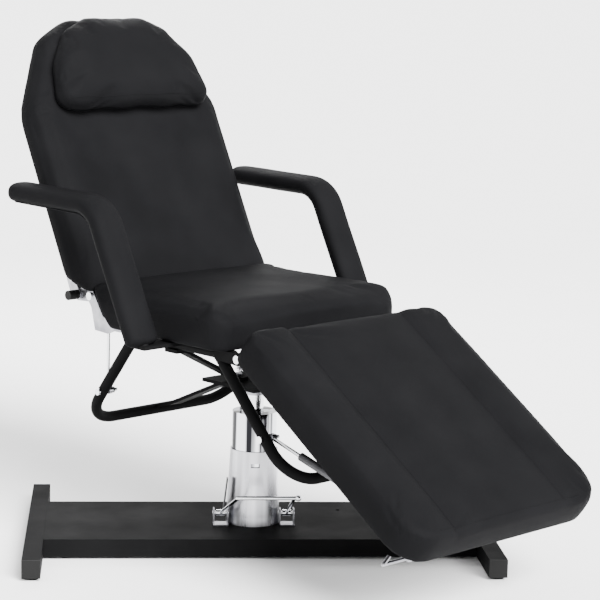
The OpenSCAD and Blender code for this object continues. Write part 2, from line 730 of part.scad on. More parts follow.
module strut_rods() {
    color([0.85, 0.86, 0.88]) at_pump() both_sides() difference() {
        union() {
            xz_tube(front_bolt + strut_dir * 7, front_bolt + strut_dir * 255, -strut_y, strut_rod_r, 0.5);
            y_bar(front_bolt, -strut_y - 4, -strut_y + 4, 9);
        }
        y_bar(front_bolt, -240, -180, bolt_r + hinge_fit);
    }
}
module strut_cylinders() {
    tube_start = 92;
    eye_start = norm(strut_low - front_bolt) - 26;
    color([0.2, 0.2, 0.21]) at_pump() both_sides() {
        xz_tube(front_bolt + strut_dir * tube_start, front_bolt + strut_dir * eye_start, -strut_y,
            strut_tube_r, strut_rod_r + hinge_fit);
        difference() {
            side_plate(-strut_y - 9.2, 18.4)
                bar_outline([front_bolt + strut_dir * eye_start, strut_low + strut_dir * 13], eye_w);
            side_plate(-strut_y - 10, 20) bar_outline([strut_low - strut_dir * slot_along / 2,
                strut_low + strut_dir * slot_along / 2], slot_across);
        }
    }
}
module handle_hangers() {
    under = -leg_thick - gap;
    color([0.6, 0.6, 0.62]) at_leg() both_sides() difference() {
        union() {
            side_plate(-172, 4) union() {
                polygon([[handle_at[0] - 20, under], [handle_at[0] + 20, under], [handle_at[0] + 8,
                    -handle_at[1]],
                    [handle_at[0] - 8, -handle_at[1]]]);
                translate([handle_at[0], -handle_at[1]]) circle(9);
            }
            translate([handle_at[0] - 20, -168, under - 3]) cube([40, 22, 3]);
        }
        y_bar([handle_at[0], -handle_at[1]], -200, -140, handle_r + hinge_fit);
    }
}
module legrest_handle() {
    color([0.66, 0.66, 0.69]) at_leg() {
        y_bar([handle_at[0], -handle_at[1]], -246, 246, handle_r);
        both_sides() translate([handle_at[0], -246, -handle_at[1]]) {
            sphere(r = handle_r);
            rotate([-50, -leg_drop, 0]) mirror([0, 1, 0]) rotate([0, 0, 0]) cylinder(h = 22, r = handle_r);
        }
    }
}

base_plate();
cross_tube_head();
cross_tube_foot();
cross_tube_caps();
feet();
pump_flange();
pump_cylinder();
pump_skirt();
pump_sleeve();
pedal_brackets();
foot_pedal();
pump_lever();
pump_ram();
socket_hub();
mounting_plate();
spider_bolts();
rear_arm();
front_arm();
side_arms();
rail_right();
rail_left();
rail_end_caps();
rear_post_right();
rear_post_left();
rear_cross_tube();
front_leg_right();
front_leg_left();
front_cross_tube();
frame_bolts();
frame_nuts();
seat_board();
seat_cushion();
armrest_brackets();
armrest_tube_right();
armrest_tube_left();
armrest_pad_right();
armrest_pad_left();
back_hinge_plates();
back_hinge_pins();
lock_rods();
lock_housings();
backrest_board();
backrest_cushion();
backrest_brackets();
crank_pins();
pillow();
pillow_fixing_strips();
release_lever();
release_shaft();
lever_grip();
knee_plates();
knee_pins();
legrest_board();
legrest_cushion();
legrest_hinge_brackets();
strut_brackets();
strut_rods();
strut_cylinders();
handle_hangers();
legrest_handle();
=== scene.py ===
import json
import math

import bmesh
import bpy
import numpy as np
from mathutils import Matrix, Vector, noise
from mathutils.bvhtree import BVHTree


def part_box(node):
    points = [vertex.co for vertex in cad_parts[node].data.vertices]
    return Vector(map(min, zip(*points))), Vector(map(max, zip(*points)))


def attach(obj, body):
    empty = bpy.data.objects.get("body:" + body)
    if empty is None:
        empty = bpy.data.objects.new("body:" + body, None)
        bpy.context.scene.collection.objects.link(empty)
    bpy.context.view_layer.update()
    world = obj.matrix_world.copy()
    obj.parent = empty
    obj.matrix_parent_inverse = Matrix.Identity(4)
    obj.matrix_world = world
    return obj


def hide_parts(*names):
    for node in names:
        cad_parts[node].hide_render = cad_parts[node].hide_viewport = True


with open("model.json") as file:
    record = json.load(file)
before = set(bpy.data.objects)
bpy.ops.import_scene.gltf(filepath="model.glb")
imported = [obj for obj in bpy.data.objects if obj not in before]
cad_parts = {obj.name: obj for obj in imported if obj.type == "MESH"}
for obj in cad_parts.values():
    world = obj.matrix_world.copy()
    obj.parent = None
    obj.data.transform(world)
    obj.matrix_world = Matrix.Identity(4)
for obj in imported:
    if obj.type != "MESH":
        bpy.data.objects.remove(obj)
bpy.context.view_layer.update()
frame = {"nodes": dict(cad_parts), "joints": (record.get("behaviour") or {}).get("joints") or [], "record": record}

NODES = frame["nodes"]
JOINTS = {joint["name"]: joint for joint in frame["joints"]}
Y = Vector((0, 1, 0))

# ---------------------------------------------------------------- places taken from the frame
low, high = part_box("pump_ram")
PUMP = Vector(((low.x + high.x) / 2, (low.y + high.y) / 2, 0))
BACK_LEAN = math.radians(90 - JOINTS["backrest_hinge"]["range_deg"][1])
LEG_DROP = math.radians(JOINTS["legrest_hinge"]["range_deg"][1])
BACK_UP = Vector((-math.sin(BACK_LEAN), 0, math.cos(BACK_LEAN)))
BACK_FRONT = Vector((math.cos(BACK_LEAN), 0, math.sin(BACK_LEAN)))
LEG_ALONG = Vector((math.cos(LEG_DROP), 0, -math.sin(LEG_DROP)))
LEG_UP = Vector((math.sin(LEG_DROP), 0, math.cos(LEG_DROP)))
SEAT_ALONG = Vector((1, 0, 0))
SEAT_UP = Vector((0, 0, 1))


def extent(nodes, direction):
    """Lowest and highest reach of CAD nodes along a direction."""
    reach = [v.co.dot(direction) for n in nodes for v in NODES[n].data.vertices]
    return min(reach), max(reach)


class Plane:
    """A cushion's own frame: a runs along it, b across it, h out of its face."""

    def __init__(self, nodes, along, up):
        self.along, self.up = along, up
        start, end = extent(nodes, along)
        under, face = extent(nodes, up)
        right, left = extent(nodes, Y)
        self.half = (left - right) / 2
        self.length = end - start
        self.thick = face - under
        self.origin = along * start + up * face + Y * PUMP.y

    def point(self, a, b, h):
        return self.origin + self.along * a + Y * b + self.up * h

    def local(self, co):
        """World coordinates (n, 3) to (a, b, h)."""
        rel = co - np.array(self.origin)
        return np.stack([rel @ np.array(self.along), rel @ np.array(Y),
                         rel @ np.array(self.up)], 1)

    def world(self, abh):
        return (np.array(self.origin) + abh[:, :1] * np.array(self.along)
                + abh[:, 1:2] * np.array(Y) + abh[:, 2:] * np.array(self.up))


SEAT = Plane(["seat_cushion", "seat_board"], SEAT_ALONG, SEAT_UP)
BACK = Plane(["backrest_cushion", "backrest_board"], BACK_UP, BACK_FRONT)
LEG = Plane(["legrest_cushion", "legrest_board"], LEG_ALONG, LEG_UP)
PILLOW = Plane(["pillow"], BACK_UP, BACK_FRONT)


# ---------------------------------------------------------------- camera
CAMERA_FROM_PUMP = Vector((3.3257, -3.1627, 1.3181))
CAMERA_HEADING = math.radians(135.24)
CAMERA_PITCH = math.radians(-9.419)
CAMERA_ROLL = math.radians(1.406)
CAMERA_LENS = 124.52


def make_camera():
    """Long lens from the foot end, on the bed's right side."""
    data = bpy.data.cameras.new("camera")
    data.lens = CAMERA_LENS
    data.clip_start = 0.1
    data.clip_end = 1000
    camera = bpy.data.objects.new("camera", data)
    bpy.context.scene.collection.objects.link(camera)
    forward = Vector((math.cos(CAMERA_PITCH) * math.cos(CAMERA_HEADING),
                      math.cos(CAMERA_PITCH) * math.sin(CAMERA_HEADING), math.sin(CAMERA_PITCH)))
    turn = forward.to_track_quat("-Z", "Y").to_matrix().to_4x4()
    camera.matrix_world = (Matrix.Translation(PUMP + CAMERA_FROM_PUMP) @ turn
                           @ Matrix.Rotation(CAMERA_ROLL, 4, "Z"))
    bpy.context.scene.camera = camera


make_camera()


# ---------------------------------------------------------------- materials
# base colours in linear light, each a dark and a light tone that a noise blends between
LEATHER_DARK = (0.0040, 0.0040, 0.0044)
LEATHER_LIGHT = (0.0056, 0.0056, 0.0061)
COAT_DARK = (0.0036, 0.0036, 0.0038)
COAT_LIGHT = (0.0052, 0.0052, 0.0054)
PLASTIC_DARK = (0.003, 0.003, 0.003)
PLASTIC_LIGHT = (0.006, 0.006, 0.006)
WEBBING_DARK = (0.010, 0.010, 0.011)
WEBBING_LIGHT = (0.024, 0.024, 0.025)
STEEL_DARK = (0.03, 0.03, 0.032)
STEEL_LIGHT = (0.06, 0.06, 0.065)
ZINC_DARK = (0.20, 0.20, 0.22)
ZINC_LIGHT = (0.42, 0.42, 0.44)
CHROME = (0.82, 0.83, 0.85)
# satin skirt and bright sleeve: dark and light tones of painted reflections, blended in soft upright bands
SATIN_REFLECTION_DARK = (0.34, 0.34, 0.36)
SATIN_REFLECTION_LIGHT = (0.66, 0.66, 0.69)
SLEEVE_REFLECTION_DARK = (0.012, 0.012, 0.014)
SLEEVE_REFLECTION_LIGHT = (0.74, 0.75, 0.78)
WOOD_DARK = (0.30, 0.20, 0.11)
WOOD_LIGHT = (0.47, 0.34, 0.20)
FLOOR_DARK = (0.90, 0.90, 0.90)
FLOOR_LIGHT = (0.93, 0.93, 0.93)


class Nodes:
    """A material with one Principled shader, and short ways to add and link its nodes."""

    def __init__(self, name):
        self.material = bpy.data.materials.new(name)
        self.material.use_nodes = True
        self.tree = self.material.node_tree
        self.shader = self.tree.nodes["Principled BSDF"]
        self.coords = self.tree.nodes.new("ShaderNodeTexCoord").outputs["Object"]

    def add(self, kind, inputs=None, **settings):
        made = self.tree.nodes.new(kind)
        for key, value in settings.items():
            setattr(made, key, value)
        for key, value in (inputs or {}).items():
            if hasattr(value, "links"):
                self.tree.links.new(value, made.inputs[key])
            else:
                made.inputs[key].default_value = value
        return made

    def link(self, output, name):
        self.tree.links.new(output, self.shader.inputs[name])

    def set(self, **values):
        for key, value in values.items():
            self.shader.inputs[key.replace("_", " ")].default_value = value

    def noise(self, scale, detail=3.0, rough=0.5):
        return self.add("ShaderNodeTexNoise", {"Vector": self.coords, "Scale": scale,
                                               "Detail": detail, "Roughness": rough})

    def ramp(self, value, low, high, at=(0.3, 0.7)):
        made = self.add("ShaderNodeMapRange", {"Value": value, "From Min": at[0], "From Max": at[1],
                                               "To Min": low, "To Max": high})
        return made.outputs["Result"]

    def tint(self, value, dark, light):
        made = self.add("ShaderNodeMix", {"Factor": value}, data_type="RGBA")
        made.inputs[6].default_value = (*dark, 1)
        made.inputs[7].default_value = (*light, 1)
        return made.outputs[2]

    def bump(self, height, distance, strength=1.0, normal=None):
        inputs = {"Height": height, "Distance": distance, "Strength": strength}
        if normal is not None:
            inputs["Normal"] = normal
        return self.add("ShaderNodeBump", inputs).outputs["Normal"]


def leather_material():
    m = Nodes("black_leather")
    grain = m.add("ShaderNodeTexVoronoi", {"Vector": m.coords, "Scale": 620.0, "Randomness": 1.0},
                  feature="DISTANCE_TO_EDGE")
    pores = m.noise(1500.0, 2.0)
    creases = m.noise(46.0, 5.0, 0.55)
    patches = m.noise(7.0, 2.0)
    edge = m.ramp(grain.outputs["Distance"], 0.0, 1.0, (0.0, 0.28))
    normal = m.bump(creases.outputs["Fac"], 0.0016, 0.32)
    normal = m.bump(edge, 0.00035, 0.5, normal)
    normal = m.bump(pores.outputs["Fac"], 0.0002, 0.35, normal)
    m.link(normal, "Normal")
    m.link(m.tint(m.ramp(patches.outputs["Fac"], 0, 1), LEATHER_DARK, LEATHER_LIGHT), "Base Color")
    m.link(m.ramp(patches.outputs["Fac"], 0.50, 0.60), "Roughness")
    m.set(Specular_IOR_Level=0.012)
    return m.material


def coat_material():
    m = Nodes("black_coat")
    peel = m.noise(520.0, 2.0)
    wear = m.noise(11.0, 4.0)
    m.link(m.bump(peel.outputs["Fac"], 0.0005, 0.5), "Normal")
    m.link(m.tint(m.ramp(wear.outputs["Fac"], 0, 1), COAT_DARK, COAT_LIGHT), "Base Color")
    m.link(m.ramp(wear.outputs["Fac"], 0.52, 0.66), "Roughness")
    m.set(Specular_IOR_Level=0.02)
    return m.material


def chrome_material():
    m = Nodes("chrome")
    smears = m.noise(24.0, 4.0)
    ripple = m.noise(9.0, 1.0)
    m.link(m.bump(ripple.outputs["Fac"], 0.0009, 0.1), "Normal")
    dull = tuple(c * 0.93 for c in CHROME)
    m.link(m.tint(m.ramp(smears.outputs["Fac"], 0, 1), dull, CHROME), "Base Color")
    m.link(m.ramp(smears.outputs["Fac"], 0.05, 0.11), "Roughness")
    m.set(Metallic=1.0)
    return m.material


def zinc_material():
    m = Nodes("zinc")
    spangle = m.add("ShaderNodeTexVoronoi", {"Vector": m.coords, "Scale": 260.0})
    stain = m.noise(30.0, 4.0)
    m.link(m.tint(m.ramp(stain.outputs["Fac"], 0, 1), ZINC_DARK, ZINC_LIGHT), "Base Color")
    m.link(m.ramp(spangle.outputs["Distance"], 0.24, 0.36, (0, 1)), "Roughness")
    m.link(m.bump(stain.outputs["Fac"], 0.0004, 0.2), "Normal")
    m.set(Metallic=1.0)
    return m.material


def dark_steel_material():
    m = Nodes("dark_steel")
    stain = m.noise(40.0, 4.0)
    m.link(m.tint(m.ramp(stain.outputs["Fac"], 0, 1), STEEL_DARK, STEEL_LIGHT), "Base Color")
    m.link(m.ramp(stain.outputs["Fac"], 0.3, 0.45), "Roughness")
    m.set(Metallic=0.6)
    return m.material


def plastic_material(name, scale, depth, rough):
    m = Nodes(name)
    grain = m.noise(scale, 3.0)
    m.link(m.bump(grain.outputs["Fac"], depth, 0.5), "Normal")
    m.link(m.tint(m.ramp(grain.outputs["Fac"], 0, 1), PLASTIC_DARK, PLASTIC_LIGHT), "Base Color")
    m.link(m.ramp(grain.outputs["Fac"], rough, rough + 0.12), "Roughness")
    m.set(Specular_IOR_Level=0.15)
    return m.material


def webbing_material():
    m = Nodes("black_webbing")
    weave = m.add("ShaderNodeTexVoronoi", {"Vector": m.coords, "Scale": 900.0})
    m.link(m.bump(weave.outputs["Distance"], 0.0006, 0.8), "Normal")
    m.link(m.tint(weave.outputs["Distance"], WEBBING_DARK, WEBBING_LIGHT), "Base Color")
    m.set(Roughness=0.9, Sheen_Weight=0.2)
    return m.material


def plywood_material():
    m = Nodes("plywood")
    stretched = m.add("ShaderNodeMapping", {"Vector": m.coords, "Scale": (3.0, 40.0, 40.0)})
    fibre = m.add("ShaderNodeTexNoise", {"Vector": stretched.outputs["Vector"], "Scale": 6.0,
                                         "Detail": 6.0})
    m.link(m.tint(m.ramp(fibre.outputs["Fac"], 0, 1), WOOD_DARK, WOOD_LIGHT), "Base Color")
    m.link(m.bump(fibre.outputs["Fac"], 0.0008, 0.4), "Normal")
    m.set(Roughness=0.7)
    return m.material


MATERIALS = {
    "black_leather": leather_material(),
    "black_coat": coat_material(),
    "chrome": chrome_material(),
    "zinc": zinc_material(),
    "dark_steel": dark_steel_material(),
    "black_plastic": plastic_material("black_plastic", 700.0, 0.0004, 0.5),
    "black_rubber": plastic_material("black_rubber", 400.0, 0.0006, 0.7),
    "black_webbing": webbing_material(),
    "plywood": plywood_material(),
}


def reflection_banded_chrome(name, rough, dark, light, share):
    """Plated tube whose base colour carries soft upright dark and light bands of painted reflection."""
    m = Nodes(name)
    upright = m.add("ShaderNodeMapping", {"Vector": m.coords, "Scale": (34.0, 34.0, 0.4)})
    painted_reflection_bands = m.add("ShaderNodeTexNoise", {"Vector": upright.outputs["Vector"], "Scale": 1.0,
                                         "Detail": 2.0})
    m.link(m.tint(m.ramp(painted_reflection_bands.outputs["Fac"], 0, 1, share), dark, light), "Base Color")
    m.link(m.ramp(painted_reflection_bands.outputs["Fac"], *rough), "Roughness")
    m.set(Metallic=1.0)
    return m.material


# skirt and sleeve get upright bands of painted reflection in their base colour
SATIN_CHROME = reflection_banded_chrome("satin_chrome", (0.24, 0.34), SATIN_REFLECTION_DARK, SATIN_REFLECTION_LIGHT, (0.35, 0.6))
SLEEVE_CHROME = reflection_banded_chrome("sleeve_chrome", (0.05, 0.1), SLEEVE_REFLECTION_DARK, SLEEVE_REFLECTION_LIGHT,
                                (0.42, 0.50))
SLOT_OF = {part["node"]: part["material_slot"] for part in frame["record"]["subparts"]}

for node_name, piece in NODES.items():
    for place in piece.material_slots:
        place.material = MATERIALS[SLOT_OF[node_name]]


# ---------------------------------------------------------------- mesh helpers
def link(name, data):
    piece = bpy.data.objects.new(name, data)
    bpy.context.scene.collection.objects.link(piece)
    return piece


def finish_piece(piece, body, material_slot, nodes=()):
    """Gives a piece the material of its slot and its body, and hides the CAD nodes that it stands for."""
    piece.data.materials.clear()
    piece.data.materials.append(MATERIALS[material_slot])
    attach(piece, body)
    if nodes:
        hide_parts(*nodes)


def shade_smooth(piece):
    piece.data.polygons.foreach_set("use_smooth", [True] * len(piece.data.polygons))


def coords_of(piece):
    co = np.empty(len(piece.data.vertices) * 3)
    piece.data.vertices.foreach_get("co", co)
    return co.reshape(-1, 3)


def set_coords(piece, co):
    piece.data.vertices.foreach_set("co", np.asarray(co, float).ravel())
    piece.data.update()


class Fillet:
    """The arc that rounds a corner between two straight runs."""

    def __init__(self, before, corner, after, radius):
        back, on = (before - corner).normalized(), (after - corner).normalized()
        half = back.angle(on) / 2
        reach = radius / math.tan(half)
        self.start, self.end = corner + back * reach, corner + on * reach
        self.middle = corner + (back + on).normalized() * (radius / math.sin(half))
        self.sweep = math.pi - 2 * half

    def at(self, share):
        """Point at a share of the way along the arc."""
        arm = ((self.start - self.middle) * math.sin((1 - share) * self.sweep)
               + (self.end - self.middle) * math.sin(share * self.sweep)) / math.sin(self.sweep)
        return self.middle + arm


def rounded(corners, steps=8):
    """Outline from corners (a, b, radius), each corner an arc."""
    places = [Vector(corner[:2]) for corner in corners]
    points = []
    for i, (_, _, radius) in enumerate(corners):
        arc = Fillet(places[i - 1], places[i], places[(i + 1) % len(places)], radius)
        points += [arc.at(k / steps) for k in range(steps + 1)]
    return points


def spaced(points, gap):
    """Closed outline resampled at an even gap."""
    ring = [Vector(p) for p in points]
    ring.append(ring[0])
    lengths = [0.0]
    for one, two in zip(ring, ring[1:]):
        lengths.append(lengths[-1] + (two - one).length)
    count = max(12, round(lengths[-1] / gap))
    made, k = [], 0
    for i in range(count):
        want = lengths[-1] * i / count
        while lengths[k + 1] < want:
            k += 1
        share = (want - lengths[k]) / max(lengths[k + 1] - lengths[k], 1e-9)
        made.append(ring[k].lerp(ring[k + 1], share))
    return made


def inward(points):
    """Unit normals of a closed outline, pointing in."""
    count = len(points)
    area = sum(points[i - 1].cross(points[i]) for i in range(count))
    sign = 1 if area > 0 else -1
    normals = []
    for i in range(count):
        run = (points[(i + 1) % count] - points[i - 1]).normalized()
        normals.append(Vector((-run.y, run.x)) * sign)
    return normals


OUTLINE_GAP = 0.008
LOW_STEPS, WALL_STEPS, TOP_STEPS = 4, 6, 6
BEVEL_REACH = 0.12


def side_levels(thick, top_round, low_round, bulge):
    """Inset and height of each ring up a cushion's side, from its underside to its face."""
    levels = []
    for k in range(LOW_STEPS + 1):
        angle = math.pi / 2 * k / LOW_STEPS
        levels.append((low_round * (1 - math.sin(angle)),
                       -thick + low_round * (1 - math.cos(angle))))
    wall = thick - top_round - low_round
    for k in range(1, WALL_STEPS):
        levels.append((-bulge * math.sin(math.pi * k / WALL_STEPS),
                       -thick + low_round + wall * k / WALL_STEPS))
    for k in range(TOP_STEPS + 1):
        angle = math.pi / 2 * k / TOP_STEPS
        levels.append((top_round * (1 - math.cos(angle)),
                       -top_round + top_round * math.sin(angle)))
    return levels


def stack_rings(mesh, rings):
    """Joins rings of points into a closed tube with flat ends."""
    count = len(rings[0])
    for one, two in zip(rings, rings[1:]):
        for k in range(count):
            mesh.faces.new([one[k], one[(k + 1) % count], two[(k + 1) % count], two[k]])
    mesh.faces.new(list(reversed(rings[0])))
    mesh.faces.new(rings[-1])
    bmesh.ops.recalc_face_normals(mesh, faces=mesh.faces)


def link_mesh(name, mesh):
    """Makes a bmesh into a linked piece."""
    data = bpy.data.meshes.new(name)
    mesh.to_mesh(data)
    mesh.free()
    return link(name, data)


def loft_cushion(name, plane, corners, thick, top_round, low_round, bulge, bevel=0.0):
    """Closed shell over an outline in (a, b), with rounded edges and a slightly bulging wall.

    bevel leans the wall at the outline's start, by that much per unit of depth.
    """
    outline = spaced(rounded(corners), OUTLINE_GAP)
    normals = inward(outline)
    mesh = bmesh.new()
    rings = []
    for inset, h in side_levels(thick, top_round, low_round, bulge):
        ring = []
        for p, n in zip(outline, normals):
            a, b = p.x + n.x * inset, p.y + n.y * inset
            if bevel:
                a += max(0.0, 1 - a / BEVEL_REACH) * bevel * -h
            ring.append(mesh.verts.new(plane.point(a, b, h)))
        rings.append(ring)
    stack_rings(mesh, rings)
    return link_mesh(name, mesh)


def apply_modifiers(piece):
    depsgraph = bpy.context.evaluated_depsgraph_get()
    data = bpy.data.meshes.new_from_object(piece.evaluated_get(depsgraph))
    old = piece.data
    piece.modifiers.clear()
    piece.data = data
    bpy.data.meshes.remove(old)


def remesh(piece, size):
    modifier = piece.modifiers.new("remesh", "REMESH")
    modifier.mode = "VOXEL"
    modifier.voxel_size = size
    apply_modifiers(piece)


def smooth(piece, factor, repeat):
    modifier = piece.modifiers.new("smooth", "SMOOTH")
    modifier.factor = factor
    modifier.iterations = repeat
    apply_modifiers(piece)


def subdivide(piece):
    modifier = piece.modifiers.new("subdivision", "SUBSURF")
    modifier.levels = 1
    modifier.render_levels = 1
    apply_modifiers(piece)


def shape(piece, plane, change):
    """Moves a piece's points to where change(a, b, h) puts them in its plane's frame."""
    abh = plane.local(coords_of(piece))
    set_coords(piece, plane.world(np.stack(change(abh[:, 0], abh[:, 1], abh[:, 2]), 1)))


def step(value, start, end):
    """Smooth step from 0 at start to 1 at end, for arrays."""
    t = np.clip((value - start) / (end - start), 0, 1)
    return t * t * (3 - 2 * t)


def bell(value, middle, width):
    """Bell curve, 1 at the middle, for arrays."""
    return np.exp(-((value - middle) / width) ** 2)


# soft leather over foam
CLOTH = {"quality": 6, "mass": 0.3, "tension_stiffness": 18, "compression_stiffness": 14,
         "shear_stiffness": 6, "bending_stiffness": 0.9, "pin_stiffness": 1.0}
CLOTH_FRAMES = 18
LEAST_HELD = 0.01


def inflate(piece, held, pressure, cap):
    """Cloth simulation that swells a piece between its held points, with its movement capped."""
    group = piece.vertex_groups.new(name="held")
    for index, weight in enumerate(held):
        if weight > LEAST_HELD:
            group.add([index], float(min(weight, 1.0)), "REPLACE")
    start = coords_of(piece)
    cloth = piece.modifiers.new("cloth", "CLOTH")
    settings = cloth.settings
    for key, value in CLOTH.items():
        setattr(settings, key, value)
    settings.use_pressure = True
    settings.uniform_pressure_force = pressure
    settings.effector_weights.gravity = 0
    settings.vertex_group_mass = "held"
    cloth.collision_settings.use_collision = False
    cloth.point_cache.frame_start = 1
    cloth.point_cache.frame_end = CLOTH_FRAMES
    scene = bpy.context.scene
    for number in range(1, CLOTH_FRAMES + 1):
        scene.frame_set(number)
    apply_modifiers(piece)
    scene.frame_set(1)
    moved = coords_of(piece) - start
    size = np.linalg.norm(moved, axis=1, keepdims=True)
    limited = moved * (cap * np.tanh(size / cap) / np.maximum(size, 1e-9))
    set_coords(piece, start + limited)
    piece.vertex_groups.clear()


def bead(name, points, radius):
    """Thin round bead through a list of points."""
    curve = bpy.data.curves.new(name, "CURVE")
    curve.dimensions = "3D"
    curve.bevel_depth = radius
    curve.bevel_resolution = 2
    spline = curve.splines.new("POLY")
    spline.points.add(len(points) - 1)
    for place, p in zip(spline.points, points):
        place.co = (*p, 1)
    rod = link(name, curve)
    depsgraph = bpy.context.evaluated_depsgraph_get()
    made = link(name + "_mesh", bpy.data.meshes.new_from_object(rod.evaluated_get(depsgraph)))
    bpy.data.objects.remove(rod)
    made.name = name
    shade_smooth(made)
    return made


# ---------------------------------------------------------------- cushions
# each cover is lofted over an outline, remeshed to even faces, formed, then swelled
VOXEL = 0.0062
QUARTER = 1.57


def dome(value, reach):
    """Cosine of value / reach, kept to a quarter turn on either side, for arrays."""
    return np.cos(np.clip(value / reach, -QUARTER, QUARTER))


def swell(piece, held, pressure, cap):
    """Swells a formed cover by the cloth simulation, then refines it.

    held is 1 where the cover is fixed to its board and less where padding only slows it.
    """
    inflate(piece, held, pressure, cap)
    subdivide(piece)
    shade_smooth(piece)


def backrest_cushion():
    plane = BACK
    half = plane.half
    shoulder, temple, crown = 0.422, 0.600, 0.643
    corners = [(-0.036, -half, 0.02), (shoulder, -half, 0.14), (temple, -0.182, 0.07),
               (crown, -0.100, 0.05), (crown, 0.100, 0.05), (temple, 0.182, 0.07),
               (shoulder, half, 0.14), (-0.036, half, 0.02)]
    piece = loft_cushion("backrest_cover", plane, corners, plane.thick - 0.001,
                         top_round=0.016, low_round=0.008, bulge=0.002, bevel=0.80)
    remesh(piece, VOXEL)

    def form(a, b, h):
        """A ridge along each side, a shallow valley inside it, and a lip over the seat."""
        top = step(h, -0.045, -0.004)
        side = np.abs(b)
        width = half - np.clip(a - shoulder, 0, 1) * 0.56
        ridge = bell(side, width - 0.052, 0.058) * (1 - 0.5 * step(a, 0.45, 0.64))
        valley = bell(side, width - 0.145, 0.040) * (1 - step(a, 0.30, 0.52))
        middle = 0.004 * dome(b, 0.15)
        lip = bell(a, 0.020, 0.045) * bell(side, half - 0.07, 0.07)
        rise = 0.009 * ridge - 0.0025 * valley + middle - 0.004 + 0.006 * lip
        return a - 0.010 * lip * top, b, h + top * rise

    shape(piece, plane, form)
    smooth(piece, 0.5, 2)
    depth = -plane.local(coords_of(piece))[:, 2]
    swell(piece, np.maximum(step(depth, 0.040, 0.055), 0.35 * step(depth, 0.012, 0.03)),
          pressure=3.0, cap=0.006)
    finish_piece(piece, "backrest", "black_leather", ["backrest_cushion", "backrest_board"])


def pillow():
    plane = PILLOW
    top = plane.length
    cheek, brow, crown = 0.116, 0.194, top - 0.004
    corners = [(0.000, -0.232, 0.030), (cheek, -0.205, 0.08), (brow, -0.150, 0.05),
               (crown, -0.086, 0.05), (crown, 0.082, 0.05), (brow, 0.142, 0.05),
               (cheek, 0.198, 0.08), (0.000, 0.226, 0.030)]
    piece = loft_cushion("pillow_cover", plane, corners, plane.thick - 0.002,
                         top_round=0.030, low_round=0.016, bulge=0.003)
    remesh(piece, VOXEL)

    def form(a, b, h):
        """Thinner toward the top and the sides, with a slight wave in the lower edge."""
        top_share = step(h, -0.06, -0.008)
        fall = 0.012 * step(a, 0.10, top) + 0.004 * (b / 0.2) ** 2
        middle = 0.006 * dome(b, 0.14) * np.sin(np.clip(a / top, 0, 1) * math.pi)
        wave = 0.0022 * np.sin(b * 52 + 0.8) * bell(a, 0.0, 0.03)
        return a + wave, b, h + top_share * (middle - fall - 0.003)

    shape(piece, plane, form)
    smooth(piece, 0.5, 2)
    depth = -plane.local(coords_of(piece))[:, 2]
    swell(piece, step(depth, 0.050, 0.064), pressure=3.5, cap=0.007)
    finish_piece(piece, "backrest", "black_leather", ["pillow"])
    return piece


def seat_cushion():
    plane = SEAT
    half = plane.half
    front = plane.length - 0.002
    corners = [(-0.014, -half, 0.025), (front, -half, 0.040), (front, half, 0.060),
               (-0.014, half, 0.025)]
    piece = loft_cushion("seat_cover", plane, corners, plane.thick - 0.001,
                         top_round=0.020, low_round=0.008, bulge=0.002, bevel=0.78)
    remesh(piece, VOXEL)

    def form(a, b, h):
        """A crown in the middle and a waved front edge that rolls down."""
        top = step(h, -0.05, -0.004)
        roll = step(a, plane.length - 0.050, plane.length)
        wave = 0.004 * np.cos(b / half * 4.2 - 0.4)
        middle = 0.004 * np.cos(np.clip(b / half * 1.5, -QUARTER, QUARTER))
        rise = middle - 0.004 - 0.010 * roll + 0.4 * wave * roll
        return a + top * roll * wave, b, h + top * rise

    shape(piece, plane, form)
    smooth(piece, 0.5, 2)
    depth = -plane.local(coords_of(piece))[:, 2]
    swell(piece, np.maximum(step(depth, 0.065, 0.082), 0.3 * step(depth, 0.014, 0.03)),
          pressure=3.0, cap=0.006)
    finish_piece(piece, "seat", "black_leather", ["seat_cushion", "seat_board"])


LEG_SEAM = 0.170


def legrest_cushion():
    plane = LEG
    half = plane.half
    left = half + 0.010
    foot = plane.length + 0.004
    corners = [(0.003, -half, 0.03), (foot, -half, 0.070), (foot, left, 0.078), (0.003, left, 0.05)]
    piece = loft_cushion("legrest_cover", plane, corners, plane.thick - 0.001,
                         top_round=0.014, low_round=0.007, bulge=0.002)
    remesh(piece, VOXEL)

    def form(a, b, h):
        """A sunk channel at each seam, a crown between them and a ridge beside them."""
        top = step(h, -0.045, -0.004)
        side = np.abs(b)
        ridge = bell(side, half - 0.060, 0.050)
        near = np.where(b < 0, 1.0, 0.35)
        seam = bell(side, LEG_SEAM, 0.009) * near
        middle = 0.004 * np.cos(np.clip(b / LEG_SEAM * 1.57, -QUARTER, QUARTER))
        sides = step(side, LEG_SEAM - 0.01, LEG_SEAM + 0.03)
        knee = bell(a, 0.0, 0.04) * (0.003 * sides - 0.003 * (1 - sides))
        dip = bell(a, plane.length, 0.06) * -0.003
        rise = 0.004 * ridge * sides * near - 0.0050 * seam + 0.6 * middle - 0.002 + knee + dip
        return a, b, h + top * rise

    shape(piece, plane, form)
    smooth(piece, 0.4, 1)
    _, across, height = plane.local(coords_of(piece)).T
    seam_held = bell(np.abs(across), LEG_SEAM, 0.006) * step(height, -0.03, -0.015)
    face_held = np.maximum(seam_held, 0.3 * step(-height, 0.012, 0.03))
    swell(piece, np.maximum(step(-height, 0.052, 0.068), face_held), pressure=3.0, cap=0.006)
    finish_piece(piece, "legrest", "black_leather", ["legrest_cushion", "legrest_board"])
    return piece


